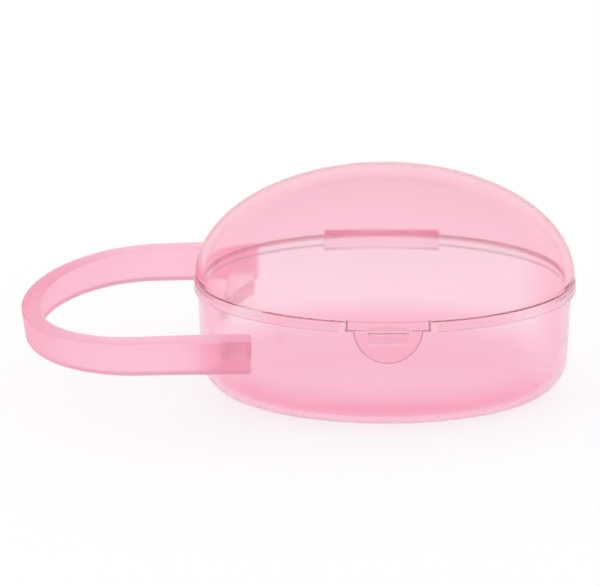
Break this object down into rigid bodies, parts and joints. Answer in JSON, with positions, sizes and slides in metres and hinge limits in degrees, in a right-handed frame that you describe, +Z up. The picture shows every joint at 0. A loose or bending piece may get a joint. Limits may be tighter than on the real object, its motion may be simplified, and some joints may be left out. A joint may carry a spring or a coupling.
{
  "type": "soother case",
  "caption": "Oval translucent case for sterilising and carrying a soother, with a domed lid on a film hinge, a front snap tab and a strap loop at one end.",
  "frame": {"origin": "centre of the oval body's flat underside", "axes": "+Z up, +X along the oval away from the strap loop, -Y towards the snap tab, +Y towards the hinge"},
  "size_m": [0.1167, 0.0618, 0.0486],
  "materials": {
    "base_plastic": "translucent gloss",
    "lid_plastic": "translucent gloss",
    "handle_plastic": "translucent gloss"
  },
  "bodies": {
    "base": {"base_shell": "base_plastic", "rim_band_plain_end": "base_plastic", "rim_band_loop_end": "base_plastic", "catch_rib": "base_plastic", "catch_web": "base_plastic", "hinge_bar": "base_plastic", "hinge_film": "base_plastic", "handle_loop": "handle_plastic", "handle_foot_front": "handle_plastic", "handle_foot_rear": "handle_plastic"},
    "lid": {"lid_shell": "lid_plastic", "lid_lip": "lid_plastic", "hinge_ledge": "lid_plastic"},
    "latch": {"latch_tab": "lid_plastic", "latch_hook": "lid_plastic"}
  },
  "joints": [
    {"name": "lid_hinge", "type": "hinge", "parent": "base", "child": "lid", "pos_m": [0, 0.02905, 0.02505], "axis": [-1, 0, 0], "range_deg": [0, 180], "deforming": ["hinge_film"]},
    {"name": "tab_flex", "type": "hinge", "parent": "lid", "child": "latch", "pos_m": [0, -0.02785, 0.0251], "axis": [-1, 0, 0], "range_deg": [0, 8], "stiffness_Nm_per_rad": 0.05}
  ]
}
